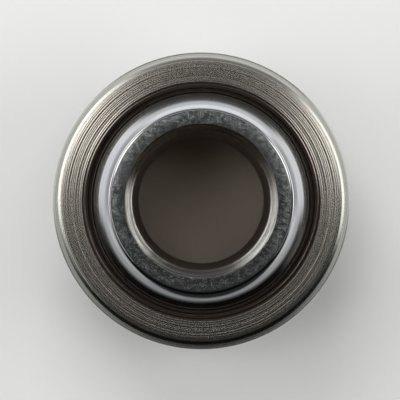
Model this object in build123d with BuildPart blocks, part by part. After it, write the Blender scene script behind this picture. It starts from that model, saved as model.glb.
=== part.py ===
import os
from math import hypot

from build123d import *

os.makedirs("parts", exist_ok=True)

# All sizes are in millimetres. The origin is the ball's centre, and +Z is the bore's axis.

# Inner ring: end_wall runs from the bore to the sharp rim where a flat face meets the ball
bore_diameter = 10.0
inner_ring_width = 12.0
end_wall = 1.5734
bore_chamfer = 0.5
rim_rounding = 0.25

# Sliding liner, between the ball and the outer ring's seat
running_clearance = 0.03
liner_thickness = 0.42
liner_recess = 0.15

# Outer ring: seat_wall is measured at mid-width, where the ring is thinnest
outer_ring_width = 7.0
seat_wall = 1.65
seat_edge_break = 0.08
face_bevel_width = 0.42
face_bevel_depth = 0.2
corner_chamfer = 0.47
corner_edge_break = 0.07

# The two rims of the inner ring lie on the ball, and the liner, the seat and the outside follow it
bore_radius = bore_diameter / 2
ball_radius = hypot(bore_radius + end_wall, inner_ring_width / 2)
liner_bore_radius = ball_radius + running_clearance
seat_radius = liner_bore_radius + liner_thickness
outer_radius = seat_radius + seat_wall

# The inner ring is a ball with a flat face on both sides and a bore right through it
with BuildPart() as inner_ring:
    with BuildSketch(Plane.XZ) as ball_section:
        Circle(ball_radius)
        with Locations((bore_radius, 0)):
            Rectangle(
                ball_radius,
                inner_ring_width,
                align=(Align.MIN, Align.CENTER),
                mode=Mode.INTERSECT,
            )
        bore_mouths, rims = ball_section.vertices().group_by(Axis.X)[:2]
        chamfer(bore_mouths, bore_chamfer)
        fillet(rims, rim_rounding)
    revolve(axis=Axis.Z)

# The liner is a thin zone of a sphere that stops short of the outer ring's faces
liner_width = outer_ring_width - 2 * liner_recess
with BuildPart() as sliding_liner:
    with BuildSketch(Plane.XZ) as liner_section:
        Circle(seat_radius)
        Circle(liner_bore_radius, mode=Mode.SUBTRACT)
        Rectangle(
            seat_radius,
            liner_width,
            align=(Align.MIN, Align.CENTER),
            mode=Mode.INTERSECT,
        )
    revolve(axis=Axis.Z)

# The outer ring is closed round the ball: its seat is widest at mid-width and narrows to both faces
face_height = outer_ring_width / 2
chamfer_top = face_height - face_bevel_depth
chamfer_start = outer_radius - corner_chamfer
upper_corner = [
    (chamfer_start - face_bevel_width, face_height),
    (chamfer_start, chamfer_top),
    (outer_radius, chamfer_top - corner_chamfer),
]
lower_corner = [(radius, -height) for radius, height in reversed(upper_corner)]
with BuildPart() as outer_ring:
    with BuildSketch(Plane.XZ) as ring_section:
        with BuildLine() as ring_outline:
            Polyline((0, face_height), *upper_corner, *lower_corner, (0, -face_height), close=True)
        make_face()
        Circle(seat_radius, mode=Mode.SUBTRACT)
        columns = ring_section.vertices().group_by(Axis.X)
        chamfer(columns[0], seat_edge_break)
        chamfer(columns[-1], corner_edge_break)
    revolve(axis=Axis.Z)

outer_ring.part.label = "outer_ring"
sliding_liner.part.label = "sliding_liner"
inner_ring.part.label = "inner_ring"

export_step(outer_ring.part, "parts/outer_ring.step")
export_step(sliding_liner.part, "parts/sliding_liner.step")
export_step(inner_ring.part, "parts/inner_ring.step")
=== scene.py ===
import math

import bpy
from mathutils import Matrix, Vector


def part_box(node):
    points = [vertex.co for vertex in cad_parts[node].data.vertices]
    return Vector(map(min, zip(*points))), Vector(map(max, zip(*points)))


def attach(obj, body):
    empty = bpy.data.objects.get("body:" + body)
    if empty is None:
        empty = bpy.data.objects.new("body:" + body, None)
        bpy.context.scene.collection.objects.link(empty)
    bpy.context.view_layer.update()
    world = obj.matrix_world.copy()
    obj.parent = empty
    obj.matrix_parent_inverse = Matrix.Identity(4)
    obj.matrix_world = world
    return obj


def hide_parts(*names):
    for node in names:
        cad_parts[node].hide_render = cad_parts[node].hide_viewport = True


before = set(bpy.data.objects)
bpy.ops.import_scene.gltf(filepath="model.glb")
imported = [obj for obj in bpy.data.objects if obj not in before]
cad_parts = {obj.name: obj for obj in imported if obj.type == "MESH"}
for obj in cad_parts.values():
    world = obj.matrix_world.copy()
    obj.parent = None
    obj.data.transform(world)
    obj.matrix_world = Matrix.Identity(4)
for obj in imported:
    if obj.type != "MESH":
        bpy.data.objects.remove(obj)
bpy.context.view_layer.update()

MM = 0.001
FULL_TURN = math.tau
SPIN_STEPS = 192
WELD_DISTANCE = 1e-7

# The bearing stands on the inner ring's lower face
FLOOR_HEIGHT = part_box("inner_ring")[0].z

# Sizes in millimetres, from the ball's centre. The mouth and the face's start include the broken edges.
BALL_RADIUS = 8.9
BALL_FACE_HEIGHT = 6.0
BORE_RADIUS = 5.0
BORE_MOUTH_RADIUS = 5.54
RIM_ROUNDING = 0.25
LINER_BORE_RADIUS = 8.93
LINER_HEIGHT = 3.35
LINER_BEVEL_END = 8.5
SEAT_RADIUS = 9.35
RACE_HEIGHT = 3.5
RACE_FACE_START = 8.785
RACE_BEVEL_STEP = 10.3

CAMERA_PLACE = (-0.00009, 0.00007, 0.105)
CAMERA_LENS = 124.4
FLOOR_SIZE = 2.0
FLOOR_LAMP_SIZE = 0.12
LEVEL_TO_CAMERA = 0.8

# The floor's painted glow, which only mirrors see: azimuth and half width in degrees of its bright sides and
# of the part behind
FLOOR_RIGHT = (17, 22)
FLOOR_LEFT = (158, 28)
FLOOR_BEHIND = (95, 45)

# Where that painted glow and its painted shade start and stop changing, in millimetres: five distances from
# the bore's axis, and then two measured along lines that run nearly straight from the front to the back
BESIDE_BALL = (9, 13)
SHADE_STARTS = (16.5, 23.4)
SHADE_ENDS = (30, 38)
NEAR_TO_FAR = (42, 52)
FADING = (60, 100)
FRONT_SLOPE = (-100, 25)
FRONT_EDGE = (-45, -39)

# Whether a turned surface falls or rises outwards: its marks are spaced by the radius less or plus the height
FALLS = -1.0
RISES = 1.0

# Azimuth, half width, lowest and highest elevation, all in degrees, and strength of each soft light
STUDIO_LIGHTS = (
    (26, 13, 62, 80, 4.1),
    (148, 13, 62, 80, 5.3),
    (84, 61, 55, 62, 1.5),
    (187, 27, 56, 64, 2.3),
    (270, 75, 56, 63, 0.1),
    (335, 10, 33, 46, 0.55),
    (15, 25, -12, 18, 2.3),
    (157, 28, -12, 18, 2.7),
    (91, 50, -12, 28, 0.28),
    (17, 26, 12, 18, 2.4),
    (161, 38, 12, 18, 2.2),
    (90, 80, 76, 100, 0.062),
    (270, 100, 76, 100, 0.02),
)

# Place in metres and power in watts of each lamp that lights the floor and the dull surfaces
FLOOR_LAMPS = (
    ("lamp_behind", (-0.035, 0.14, 0.09), 0.168),
    ("lamp_right", (0.15, 0.0, 0.085), 0.098),
    ("lamp_left", (-0.15, 0.0, 0.085), 0.085),
    ("lamp_front", (0.03, -0.15, 0.09), 0.022),
)


def deselect_all():
    bpy.ops.object.select_all(action="DESELECT")


def close_mesh():
    """Merges doubles over the piece in edit mode and turns its faces outwards."""
    bpy.ops.mesh.select_all(action="SELECT")
    bpy.ops.mesh.remove_doubles(threshold=WELD_DISTANCE)
    bpy.ops.mesh.normals_make_consistent(inside=False)


def arc(centre, radius, start, end, steps):
    """Points on an arc in a section, from one angle to another in degrees, both ends included."""
    points = []
    for step in range(steps + 1):
        angle = math.radians(start + (end - start) * step / steps)
        points.append((centre[0] + radius * math.cos(angle), centre[1] + radius * math.sin(angle)))
    return points


def turned_piece(name, section, sharp_angle):
    """Draws a closed section of (radius, height) points in millimetres and spins it round the bore's axis."""
    deselect_all()
    bpy.ops.mesh.primitive_plane_add(size=MM, location=(0, 0, 0))
    piece = bpy.context.object
    piece.name = name
    piece.data.name = name
    bpy.ops.object.mode_set(mode="EDIT")
    bpy.ops.mesh.merge(type="CENTER")
    radius, height = section[0]
    bpy.ops.transform.translate(value=(radius * MM, 0, height * MM))
    for next_radius, next_height in section[1:] + section[:1]:
        move = ((next_radius - radius) * MM, 0, (next_height - height) * MM)
        bpy.ops.mesh.extrude_region_move(TRANSFORM_OT_translate={"value": move})
        radius, height = next_radius, next_height
    bpy.ops.mesh.select_all(action="SELECT")
    bpy.ops.mesh.remove_doubles(threshold=WELD_DISTANCE)
    bpy.ops.mesh.spin(steps=SPIN_STEPS, angle=FULL_TURN, center=(0, 0, 0), axis=(0, 0, 1))
    close_mesh()
    bpy.ops.object.mode_set(mode="OBJECT")
    bpy.ops.object.shade_smooth_by_angle(angle=math.radians(sharp_angle))
    return piece


def groove_depth(distance):
    """Depth in millimetres of the tool marks at a distance along the turned face."""
    line_spacing, line_depth = 0.15, 0.0039
    feed_spacing, feed_depth, feed_start = 0.33, 0.0028, 0.22
    uneven = 1.3 * math.sin(distance * 9.0)
    line = 0.5 - 0.5 * math.cos(FULL_TURN * distance / line_spacing + uneven)
    feed = 0.5 - 0.5 * math.cos(FULL_TURN * (distance + feed_start) / feed_spacing)
    return line_depth * line + feed_depth * feed


def race_section():
    """The outer ring's section: seat, faces with tool marks, bevels, chamfers and outside."""
    seat_edge_height = 3.42
    seat_edge = math.degrees(math.asin(seat_edge_height / SEAT_RADIUS))
    seat = arc((0, 0), SEAT_RADIUS, -seat_edge, seat_edge, 28)
    face_points = 126
    flat_end, step_down = 10.09, 0.006
    fall = math.tan(math.radians(6))
    face = []
    for step in range(face_points + 1):
        radius = RACE_FACE_START + (RACE_BEVEL_STEP - RACE_FACE_START) * step / face_points
        depth = 0 if step == 0 else groove_depth(radius - RACE_FACE_START)
        if radius > flat_end:
            depth += step_down + (radius - flat_end) * fall
        face.append((radius, RACE_HEIGHT - depth))
    bevel = [(10.32, 3.4625), (10.42, 3.4), (10.54, 3.3128)]
    chamfer = [(10.65, 3.1885), (10.76, 3.0642), (10.86, 2.9512), (10.91, 2.889)]
    outside = [(10.95, 2.82), (10.98, 2.75), (11.0, 2.67)]
    upper = face + bevel + chamfer + outside
    lower = [(radius, -height) for radius, height in reversed(upper)]
    return seat + upper + lower


def liner_section():
    """The liner's section: a thin zone of a sphere with ends bevelled to the ball and falling to the seat."""
    bevel_height = 3.13
    seat_side_height = 3.32
    inner_end = math.degrees(math.asin(bevel_height / LINER_BORE_RADIUS))
    outer_end = math.degrees(math.asin(seat_side_height / SEAT_RADIUS))
    inner = arc((0, 0), LINER_BORE_RADIUS, inner_end, -inner_end, 24)
    outer = arc((0, 0), SEAT_RADIUS, -outer_end, outer_end, 24)
    ends = [(LINER_BEVEL_END, 3.315), (8.53, 3.344), (8.56, LINER_HEIGHT), (8.65, 3.336)]
    lower_ends = [(radius, -height) for radius, height in ends]
    return inner + lower_ends + outer + ends[::-1]


def ball_section():
    """The inner ring's section: sphere, rounded rims, flat faces, chamfers with broken edges, and bore."""
    face_end = 6.4615
    rim_centre = (face_end, BALL_FACE_HEIGHT - RIM_ROUNDING)
    tangent = math.degrees(math.atan2(rim_centre[1], rim_centre[0]))
    ball = arc((0, 0), BALL_RADIUS, -tangent, tangent, 72)
    rim = arc(rim_centre, RIM_ROUNDING, tangent, 90, 8)[1:]
    face = [(6.1, BALL_FACE_HEIGHT), (5.8, BALL_FACE_HEIGHT)]
    edge_break = 0.1
    mouth_centre = (5.5415, BALL_FACE_HEIGHT - edge_break)
    mouth = arc(mouth_centre, edge_break, 90, 135, 5)
    chamfer = [(5.33, 5.8333), (5.16, 5.6674), (BORE_RADIUS, 5.5113)]
    end = rim + face + mouth + chamfer
    bore = [(BORE_RADIUS, height) for height in (3.7, 1.85, 0, -1.85, -3.7)]
    lower_end = [(radius, -height) for radius, height in reversed(end)]
    return ball + end + bore + lower_end


def emptied_tree(owner):
    """The node tree of a material or world, emptied."""
    owner.use_nodes = True
    tree = owner.node_tree
    tree.nodes.clear()
    return tree


def add_node(tree, kind, **settings):
    """Adds a node and sets its properties."""
    node = tree.nodes.new(kind)
    for name, value in settings.items():
        setattr(node, name, value)
    return node


def set_inputs(node, values):
    """Sets a node's unlinked inputs by name."""
    for name, value in values.items():
        node.inputs[name].default_value = value


def math_node(tree, operation, *values):
    """A Math node whose inputs are numbers or other nodes' outputs; gives its output."""
    node = add_node(tree, "ShaderNodeMath", operation=operation)
    for place, value in enumerate(values):
        if isinstance(value, (int, float)):
            node.inputs[place].default_value = value
        else:
            tree.links.new(value, node.inputs[place])
    return node.outputs[0]


def smooth_step(tree, value, low, high, at_low=0.0, at_high=1.0):
    """Runs smoothly from at_low to at_high as the value goes from low to high."""
    node = add_node(tree, "ShaderNodeMapRange", interpolation_type="SMOOTHSTEP")
    set_inputs(node, {"From Min": low, "From Max": high, "To Min": at_low, "To Max": at_high})
    tree.links.new(value, node.inputs["Value"])
    return node.outputs["Result"]


def noise(tree, place, scale, detail, roughness):
    """A Noise texture; gives its factor."""
    node = add_node(tree, "ShaderNodeTexNoise")
    set_inputs(node, {"Scale": scale, "Detail": detail, "Roughness": roughness})
    tree.links.new(place, node.inputs["Vector"])
    return node.outputs["Fac"]


def split_place(tree, place):
    """Splits a place or a direction into X, Y and Z."""
    split = add_node(tree, "ShaderNodeSeparateXYZ")
    tree.links.new(place, split.inputs[0])
    return split


def distance_from_axis(tree, split):
    """The distance of a split place from the bore's axis."""
    across = math_node(tree, "POWER", split.outputs["X"], 2.0)
    along = math_node(tree, "POWER", split.outputs["Y"], 2.0)
    return math_node(tree, "SQRT", math_node(tree, "ADD", across, along))


def level_direction(tree, split):
    """The level part of a split place or direction, as a unit vector."""
    flat = add_node(tree, "ShaderNodeCombineXYZ")
    tree.links.new(split.outputs["X"], flat.inputs["X"])
    tree.links.new(split.outputs["Y"], flat.inputs["Y"])
    unit = add_node(tree, "ShaderNodeVectorMath", operation="NORMALIZE")
    tree.links.new(flat.outputs[0], unit.inputs[0])
    return unit.outputs["Vector"]


def new_group(name, inputs, outputs):
    """An empty shader node group with named inputs and outputs; gives the group and its two end nodes."""
    group = bpy.data.node_groups.new(name, "ShaderNodeTree")
    for socket_name, kind, value in inputs:
        socket = group.interface.new_socket(socket_name, in_out="INPUT", socket_type=kind)
        if value is not None:
            socket.default_value = value
    for socket_name, kind in outputs:
        group.interface.new_socket(socket_name, in_out="OUTPUT", socket_type=kind)
    start = group.nodes.new("NodeGroupInput")
    end = group.nodes.new("NodeGroupOutput")
    return group, start, end


def turning_marks_group():
    """Concentric tool marks: a height that changes along the section and hardly at all round the axis."""
    group, start, end = new_group(
        "turning_marks",
        [
            ("Place", "NodeSocketVector", None),
            ("Along Radius", "NodeSocketFloat", 1.0),
            ("Along Height", "NodeSocketFloat", -1.0),
            ("Lines per mm", "NodeSocketFloat", 20.0),
        ],
        [("Height", "NodeSocketFloat"), ("Streaks", "NodeSocketFloat")],
    )
    split = split_place(group, start.outputs["Place"])
    radius = distance_from_axis(group, split)
    height = math_node(group, "ABSOLUTE", split.outputs["Z"])
    radius_share = math_node(group, "MULTIPLY", radius, start.outputs["Along Radius"])
    height_share = math_node(group, "MULTIPLY", height, start.outputs["Along Height"])
    distance = math_node(group, "ADD", radius_share, height_share)
    line_place = math_node(group, "MULTIPLY", distance, start.outputs["Lines per mm"])
    slow_x = math_node(group, "MULTIPLY", split.outputs["X"], 0.06)
    slow_y = math_node(group, "MULTIPLY", split.outputs["Y"], 0.06)
    place = add_node(group, "ShaderNodeCombineXYZ")
    group.links.new(line_place, place.inputs["X"])
    group.links.new(slow_x, place.inputs["Y"])
    group.links.new(slow_y, place.inputs["Z"])
    fine = noise(group, place.outputs[0], scale=1.0, detail=3.0, roughness=0.65)
    coarse = noise(group, place.outputs[0], scale=0.24, detail=2.0, roughness=0.5)
    group.links.new(fine, end.inputs["Height"])
    group.links.new(coarse, end.inputs["Streaks"])
    return group


def scratches_group():
    """Thin straight scratches in three directions, as a mask."""
    group, start, end = new_group(
        "scratches",
        [
            ("Place", "NodeSocketVector", None),
            ("Spread", "NodeSocketFloat", 0.6),
        ],
        [("Mask", "NodeSocketFloat")],
    )
    total = None
    for turn, shift in ((0.35, 0.0), (1.45, 7.3), (2.55, 15.1)):
        aim = add_node(group, "ShaderNodeMapping")
        aim.inputs["Rotation"].default_value = (0, 0, turn)
        aim.inputs["Location"].default_value = (shift, shift, 0)
        aim.inputs["Scale"].default_value = (0.55, 9.0, 1.0)
        group.links.new(start.outputs["Place"], aim.inputs["Vector"])
        streaks = noise(group, aim.outputs[0], scale=1.0, detail=1.0, roughness=0.5)
        line = math_node(group, "GREATER_THAN", streaks, start.outputs["Spread"])
        total = line if total is None else math_node(group, "MAXIMUM", total, line)
    group.links.new(total, end.inputs["Mask"])
    return group


def specks_group():
    """Small scattered specks of dust, as a mask."""
    group, start, end = new_group(
        "specks",
        [
            ("Place", "NodeSocketVector", None),
            ("Specks per mm", "NodeSocketFloat", 1.2),
            ("Share", "NodeSocketFloat", 0.2),
        ],
        [("Mask", "NodeSocketFloat")],
    )
    cells = add_node(group, "ShaderNodeTexVoronoi")
    group.links.new(start.outputs["Place"], cells.inputs["Vector"])
    group.links.new(start.outputs["Specks per mm"], cells.inputs["Scale"])
    dot = math_node(group, "LESS_THAN", cells.outputs["Distance"], 0.07)
    split = add_node(group, "ShaderNodeSeparateColor")
    group.links.new(cells.outputs["Color"], split.inputs[0])
    chosen = math_node(group, "LESS_THAN", split.outputs[0], start.outputs["Share"])
    mask = math_node(group, "MULTIPLY", dot, chosen)
    group.links.new(mask, end.inputs["Mask"])
    return group


TURNING_MARKS = turning_marks_group()
SCRATCHES = scratches_group()
SPECKS = specks_group()


def place_in_mm(tree):
    """Object coordinates in millimetres."""
    coordinates = add_node(tree, "ShaderNodeTexCoord")
    scale = add_node(tree, "ShaderNodeMapping")
    scale.inputs["Scale"].default_value = (1 / MM, 1 / MM, 1 / MM)
    tree.links.new(coordinates.outputs["Object"], scale.inputs["Vector"])
    return scale.outputs[0]


def effect(tree, group, place, **values):
    """Places an effect's node group in a material with its own values."""
    node = add_node(tree, "ShaderNodeGroup", node_tree=group)
    tree.links.new(place, node.inputs["Place"])
    for name, value in values.items():
        node.inputs[name.replace("_", " ")].default_value = value
    return node


def surface(tree, **values):
    """A Principled BSDF on the material's output."""
    shader = add_node(tree, "ShaderNodeBsdfPrincipled")
    output = add_node(tree, "ShaderNodeOutputMaterial")
    tree.links.new(shader.outputs[0], output.inputs["Surface"])
    for name, value in values.items():
        shader.inputs[name.replace("_", " ")].default_value = value
    return shader


def colour_ramp(tree, value, low, high, low_colour, high_colour):
    """A colour that runs between two as the value goes from low to high."""
    ramp = add_node(tree, "ShaderNodeValToRGB")
    ramp.color_ramp.elements[0].position = low
    ramp.color_ramp.elements[1].position = high
    ramp.color_ramp.elements[0].color = (*low_colour, 1)
    ramp.color_ramp.elements[1].color = (*high_colour, 1)
    tree.links.new(value, ramp.inputs[0])
    return ramp.outputs["Color"]


def bump(tree, height, distance):
    """A Bump node; gives the new normal. The distance is in metres."""
    node = add_node(tree, "ShaderNodeBump")
    set_inputs(node, {"Strength": 1.0, "Distance": distance})
    tree.links.new(height, node.inputs["Height"])
    return node.outputs[0]


def turned_metal(name, rise, lines_per_mm, roughness, dark_colour, light_colour, relief):
    """Metal with concentric tool marks, whose colour changes a little from mark to mark."""
    material = bpy.data.materials.new(name)
    tree = emptied_tree(material)
    place = place_in_mm(tree)
    marks = effect(tree, TURNING_MARKS, place, Along_Radius=1.0, Along_Height=rise, Lines_per_mm=lines_per_mm)
    shader = surface(tree, Metallic=1.0, Roughness=roughness)
    colour = colour_ramp(tree, marks.outputs["Streaks"], 0.3, 0.7, dark_colour, light_colour)
    tree.links.new(colour, shader.inputs["Base Color"])
    tree.links.new(bump(tree, marks.outputs["Height"], relief), shader.inputs["Normal"])
    return material


def turned_face_steel():
    """The race's faces up to the corner: grey-brown steel with fine marks."""
    return turned_metal(
        "turned_face_steel",
        rise=FALLS,
        lines_per_mm=12.0,
        roughness=0.21,
        dark_colour=(0.43, 0.4, 0.35),
        light_colour=(0.57, 0.535, 0.47),
        relief=1.6e-6,
    )


def turned_edge_steel():
    """The race's corners and outside: paler steel with finer marks."""
    return turned_metal(
        "turned_edge_steel",
        rise=FALLS,
        lines_per_mm=16.0,
        roughness=0.23,
        dark_colour=(0.48, 0.475, 0.43),
        light_colour=(0.6, 0.59, 0.535),
        relief=2e-6,
    )


def chamfer_steel():
    """The bore's chamfers: bright, with deep rings of light and dark."""
    return turned_metal(
        "bore_chamfer",
        rise=RISES,
        lines_per_mm=14.0,
        roughness=0.12,
        dark_colour=(0.19, 0.185, 0.17),
        light_colour=(0.62, 0.605, 0.57),
        relief=2e-5,
    )


def bore_steel():
    """The bore's wall: duller and warmer."""
    return turned_metal(
        "bore_wall",
        rise=RISES,
        lines_per_mm=14.0,
        roughness=0.5,
        dark_colour=(0.46, 0.37, 0.3),
        light_colour=(0.64, 0.53, 0.43),
        relief=4e-6,
    )


def liner_cloth():
    """The liner's end: dark brown and smooth, with a metallic gloss."""
    material = bpy.data.materials.new("dark_sliding_layer")
    tree = emptied_tree(material)
    place = place_in_mm(tree)
    marks = effect(tree, TURNING_MARKS, place, Along_Radius=1.0, Along_Height=FALLS, Lines_per_mm=20.0)
    shader = surface(tree, Metallic=0.96, Roughness=0.16)
    grain = noise(tree, place, scale=9.0, detail=4.0, roughness=0.6)
    colour = colour_ramp(tree, grain, 0.35, 0.65, (0.17, 0.14, 0.12), (0.25, 0.21, 0.185))
    tree.links.new(colour, shader.inputs["Base Color"])
    tree.links.new(bump(tree, marks.outputs["Height"], 3e-6), shader.inputs["Normal"])
    return material


def painted_gap_shade(name):
    """The liner's bevel and the seat's edge: dull and very dark. This is painted shade for the gap between
    the ball and the race, and at the bevel it is partly the liner's own dark colour.
    """
    material = bpy.data.materials.new(name)
    tree = emptied_tree(material)
    place = place_in_mm(tree)
    grain = noise(tree, place, scale=9.0, detail=4.0, roughness=0.6)
    shader = surface(tree, Metallic=0.0, Roughness=0.7)
    colour = colour_ramp(tree, grain, 0.35, 0.65, (0.034, 0.024, 0.018), (0.062, 0.045, 0.034))
    tree.links.new(colour, shader.inputs["Base Color"])
    return material


def chromed_ball():
    """The sphere: hard chrome, polished like a mirror, with a few specks of dust."""
    material = bpy.data.materials.new("chromed_ball")
    tree = emptied_tree(material)
    place = place_in_mm(tree)
    shader = surface(tree, Metallic=1.0)
    specks = effect(tree, SPECKS, place, Specks_per_mm=1.6, Share=0.12)
    colour = colour_ramp(tree, specks.outputs["Mask"], 0.0, 1.0, (0.6, 0.605, 0.615), (0.4, 0.4, 0.4))
    tree.links.new(colour, shader.inputs["Base Color"])
    haze = noise(tree, place, scale=1.1, detail=3.0, roughness=0.6)
    tree.links.new(smooth_step(tree, haze, 0.3, 0.7, 0.05, 0.1), shader.inputs["Roughness"])
    return material


def ground_face():
    """The ball's flat faces: ground, chromed and mottled, with radial marks, darker at the bore."""
    material = bpy.data.materials.new("ground_chrome_face")
    tree = emptied_tree(material)
    place = place_in_mm(tree)
    unit = add_node(tree, "ShaderNodeVectorMath", operation="NORMALIZE")
    tree.links.new(place, unit.inputs[0])
    spokes = noise(tree, unit.outputs["Vector"], scale=42.0, detail=3.0, roughness=0.7)
    grain = noise(tree, place, scale=3.4, detail=5.0, roughness=0.72)
    grain_share = math_node(tree, "MULTIPLY", grain, 0.6)
    mottle = math_node(tree, "MULTIPLY_ADD", spokes, 0.4, grain_share)
    scratches = effect(tree, SCRATCHES, place, Spread=0.66)
    lit = math_node(tree, "MULTIPLY_ADD", scratches.outputs["Mask"], 0.1, mottle)
    shader = surface(tree, Metallic=1.0)
    colour = colour_ramp(tree, lit, 0.37, 0.67, (0.28, 0.295, 0.3), (0.64, 0.66, 0.65))
    distance = distance_from_axis(tree, split_place(tree, place))
    tone = smooth_step(tree, distance, 5.7, 6.2, 0.68, 1.0)
    toned = add_node(tree, "ShaderNodeVectorMath", operation="SCALE")
    tree.links.new(colour, toned.inputs[0])
    tree.links.new(tone, toned.inputs["Scale"])
    tree.links.new(toned.outputs["Vector"], shader.inputs["Base Color"])
    tree.links.new(smooth_step(tree, grain, 0.35, 0.65, 0.13, 0.22), shader.inputs["Roughness"])
    tree.links.new(bump(tree, mottle, 5e-6), shader.inputs["Normal"])
    return material


def paint_faces(piece, material, chosen):
    """Adds a material to a piece and gives it to the faces that the test chooses by centre and normal."""
    piece.data.materials.append(material)
    place = len(piece.data.materials) - 1
    for face in piece.data.polygons:
        if chosen(face.center, face.normal):
            face.material_index = place


def race_piece():
    """The outer ring, turned as one piece."""
    race = turned_piece("race_body", race_section(), 15)
    race.data.materials.append(turned_edge_steel())
    marks_end = RACE_BEVEL_STEP * MM
    seat_edge = RACE_FACE_START * MM

    def on_face(centre, normal):
        return centre.xy.length < marks_end and abs(normal.z) > 0.85

    paint_faces(race, turned_face_steel(), on_face)
    # Painted shade: the seat's edge is given the very dark gap material instead of reflecting the light
    paint_faces(race, painted_gap_shade("seat_edge"), lambda centre, normal: centre.xy.length < seat_edge)
    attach(race, "outer_ring")
    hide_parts("outer_ring")


def liner_piece():
    """The sliding liner, in the race's seat."""
    liner = turned_piece("seat_liner", liner_section(), 30)
    liner.data.materials.append(liner_cloth())
    bevel_end = LINER_BEVEL_END * MM

    def on_bevel(centre, normal):
        return centre.xy.length < bevel_end and abs(normal.z) > 0.5

    # Painted shade: the liner's bevel is given the very dark gap material, partly the liner's own dark colour
    paint_faces(liner, painted_gap_shade("liner_bevel_painted_shade"), on_bevel)
    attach(liner, "outer_ring")
    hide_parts("sliding_liner")


def ball_piece():
    """The inner ring: sphere, ground faces and bore."""
    ball = turned_piece("bored_ball", ball_section(), 30)
    ball.data.materials.append(chromed_ball())
    mouth = BORE_MOUTH_RADIUS * MM
    flat, upright = 0.999, 0.1

    def on_chamfer(centre, normal):
        return centre.xy.length < mouth and abs(normal.z) < flat

    def on_wall(centre, normal):
        return centre.xy.length < mouth and abs(normal.z) < upright

    paint_faces(ball, ground_face(), lambda centre, normal: abs(normal.z) > flat)
    paint_faces(ball, chamfer_steel(), on_chamfer)
    paint_faces(ball, bore_steel(), on_wall)
    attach(ball, "inner_ring")
    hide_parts("inner_ring")


def sector(tree, flat_direction, azimuth, half_width):
    """A soft sector round the bore's axis: 1 near an azimuth, and 0 beyond 1.5 half widths from it."""
    turn = math.radians(azimuth)
    along = add_node(tree, "ShaderNodeVectorMath", operation="DOT_PRODUCT")
    tree.links.new(flat_direction, along.inputs[0])
    along.inputs[1].default_value = (math.cos(turn), math.sin(turn), 0)
    outer = math.cos(math.radians(half_width * 1.5))
    inner = math.cos(math.radians(half_width * 0.5))
    return smooth_step(tree, along.outputs["Value"], outer, inner)


def glow(tree, flat_direction, elevation, azimuth, half_width, lowest, highest, strength):
    """A soft-edged light in the world, in degrees."""
    sideways = sector(tree, flat_direction, azimuth, half_width)
    softness = 5
    rising = smooth_step(tree, elevation, lowest - softness, lowest + softness)
    falling = smooth_step(tree, elevation, highest - softness, highest + softness, 1.0, 0.0)
    upright = math_node(tree, "MULTIPLY", rising, falling)
    shape = math_node(tree, "MULTIPLY", sideways, upright)
    return math_node(tree, "MULTIPLY", shape, strength)


def mirrored_floor_painted_glow(tree, place, split, distance):
    """How bright mirrors see the floor's painted glow: painted shade in front, under the bearing, and in a
    ring round it.
    """
    direction = level_direction(tree, split)
    right = sector(tree, direction, *FLOOR_RIGHT)
    left = sector(tree, direction, *FLOOR_LEFT)
    sides = math_node(tree, "MAXIMUM", right, left)
    near_level = math_node(tree, "MULTIPLY_ADD", sides, 0.3, 0.7)
    far_level = math_node(tree, "MULTIPLY_ADD", sides, -0.6, 1.12)
    near_share = smooth_step(tree, distance, *NEAR_TO_FAR, 1.0, 0.0)
    far_share = math_node(tree, "SUBTRACT", 1.0, near_share)
    near_part = math_node(tree, "MULTIPLY", near_level, near_share)
    far_part = math_node(tree, "MULTIPLY", far_level, far_share)
    behind = math_node(tree, "MULTIPLY", sector(tree, direction, *FLOOR_BEHIND), 0.08)
    level = math_node(tree, "ADD", math_node(tree, "ADD", near_part, far_part), behind)
    fading = smooth_step(tree, distance, *FADING, 1.0, 0.7)
    # Painted shade: the glow turns darker towards the front and is nearly cut off at the front edge
    ahead = add_node(tree, "ShaderNodeVectorMath", operation="DOT_PRODUCT")
    tree.links.new(place, ahead.inputs[0])
    ahead.inputs[1].default_value = (0.05, 1.0, 0)
    slope = smooth_step(tree, ahead.outputs["Value"], *FRONT_SLOPE)
    edge_place = add_node(tree, "ShaderNodeVectorMath", operation="DOT_PRODUCT")
    tree.links.new(place, edge_place.inputs[0])
    edge_place.inputs[1].default_value = (-0.12, 0.99, 0)
    edge = smooth_step(tree, edge_place.outputs["Value"], *FRONT_EDGE, 0.07, 1.0)
    front = math_node(tree, "MULTIPLY", math_node(tree, "MULTIPLY", slope, edge), fading)
    # Painted shade: a ring of shade round the bearing, where the bright sides are not
    inner_edge = smooth_step(tree, distance, *SHADE_STARTS)
    outer_edge = smooth_step(tree, distance, *SHADE_ENDS, 1.0, 0.0)
    ring = math_node(tree, "MULTIPLY", inner_edge, outer_edge)
    open_sides = math_node(tree, "SUBTRACT", 1.0, sides)
    shade = math_node(tree, "MULTIPLY", math_node(tree, "MULTIPLY", ring, open_sides), 0.88)
    lit = math_node(tree, "SUBTRACT", 1.0, shade)
    open_floor = math_node(tree, "MULTIPLY", math_node(tree, "MULTIPLY", level, front), lit)
    # Painted shade: beside and under the ball, mirrors see the floor nearly black
    beside = smooth_step(tree, distance, *BESIDE_BALL, 0.02, 1.0)
    return math_node(tree, "MULTIPLY", open_floor, beside)


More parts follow.
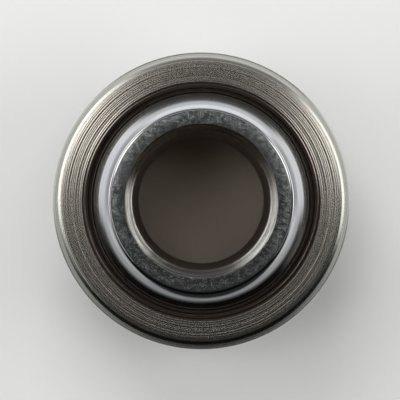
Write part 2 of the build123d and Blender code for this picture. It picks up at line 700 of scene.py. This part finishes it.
def floor_material():
    """The pale floor, with painted shade under the bore: darker and browner there. Mirrors see a painted glow
    with light and shade of its own in it.
    """
    material = bpy.data.materials.new("pale_floor")
    tree = emptied_tree(material)
    place = place_in_mm(tree)
    split = split_place(tree, place)
    distance = distance_from_axis(tree, split)
    # Painted light: for glossy rays the floor glows, though it is no lamp, with the painted light and shade
    # above
    emission = add_node(tree, "ShaderNodeEmission")
    emission.inputs["Color"].default_value = (0.97, 0.985, 1.0, 1)
    tree.links.new(mirrored_floor_painted_glow(tree, place, split, distance), emission.inputs["Strength"])
    diffuse = add_node(tree, "ShaderNodeBsdfDiffuse")
    # Painted shade: the floor's colour turns darker brown under the bore, for the bore's shade and the brown
    # light from its wall
    under = smooth_step(tree, distance, 4.5, 9.0)
    colour = colour_ramp(tree, under, 0.0, 1.0, (0.44, 0.39, 0.335), (0.86, 0.86, 0.845))
    tree.links.new(colour, diffuse.inputs["Color"])
    rays = add_node(tree, "ShaderNodeLightPath")
    mixed = add_node(tree, "ShaderNodeMixShader")
    tree.links.new(rays.outputs["Is Glossy Ray"], mixed.inputs[0])
    tree.links.new(diffuse.outputs[0], mixed.inputs[1])
    tree.links.new(emission.outputs[0], mixed.inputs[2])
    output = add_node(tree, "ShaderNodeOutputMaterial")
    tree.links.new(mixed.outputs[0], output.inputs["Surface"])
    return material


def floor_piece():
    """A wide plain floor under the bearing."""
    deselect_all()
    bpy.ops.mesh.primitive_plane_add(size=FLOOR_SIZE, location=(0, 0, FLOOR_HEIGHT))
    floor = bpy.context.object
    floor.name = "floor"
    floor.data.materials.append(floor_material())


def studio_world():
    """Soft studio light from the right, the left and behind, dark in front, and pale to the camera."""
    world = bpy.data.worlds.new("studio")
    bpy.context.scene.world = world
    tree = emptied_tree(world)
    coordinates = add_node(tree, "ShaderNodeTexCoord")
    split = split_place(tree, coordinates.outputs["Generated"])
    direction = level_direction(tree, split)
    elevation = math_node(tree, "MULTIPLY", math_node(tree, "ARCSINE", split.outputs["Z"]), 180 / math.pi)
    total = smooth_step(tree, split.outputs["Y"], -0.35, 0.1, 0.007, 0.05)
    for light in STUDIO_LIGHTS:
        total = math_node(tree, "ADD", total, glow(tree, direction, elevation, *light))
    rays = add_node(tree, "ShaderNodeLightPath")
    seen = add_node(tree, "ShaderNodeMix", data_type="FLOAT")
    tree.links.new(rays.outputs["Is Camera Ray"], seen.inputs["Factor"])
    tree.links.new(total, seen.inputs["A"])
    seen.inputs["B"].default_value = LEVEL_TO_CAMERA
    background = add_node(tree, "ShaderNodeBackground")
    tree.links.new(seen.outputs["Result"], background.inputs["Strength"])
    output = add_node(tree, "ShaderNodeOutputWorld")
    tree.links.new(background.outputs[0], output.inputs["Surface"])


def floor_lamp(name, place, power):
    """A low soft lamp for the floor and the dull surfaces. Mirrors don't see it."""
    deselect_all()
    bpy.ops.object.light_add(type="AREA", location=place)
    lamp = bpy.context.object
    lamp.name = name
    lamp.rotation_euler = Vector(place).to_track_quat("Z", "Y").to_euler()
    lamp.data.size = FLOOR_LAMP_SIZE
    lamp.data.energy = power
    lamp.visible_glossy = False


def camera_above():
    """The photograph's view: straight down, from about 105 mm above the ball's centre."""
    deselect_all()
    bpy.ops.object.camera_add(location=CAMERA_PLACE, rotation=(0, 0, 0))
    camera = bpy.context.object
    camera.data.sensor_width = 36.0
    camera.data.lens = CAMERA_LENS
    camera.data.clip_start = 0.01
    bpy.context.scene.camera = camera


race_piece()
liner_piece()
ball_piece()
floor_piece()
for lamp_name, lamp_place, lamp_power in FLOOR_LAMPS:
    floor_lamp(lamp_name, lamp_place, lamp_power)
studio_world()
camera_above()

bpy.context.scene.view_settings.view_transform = "Standard"
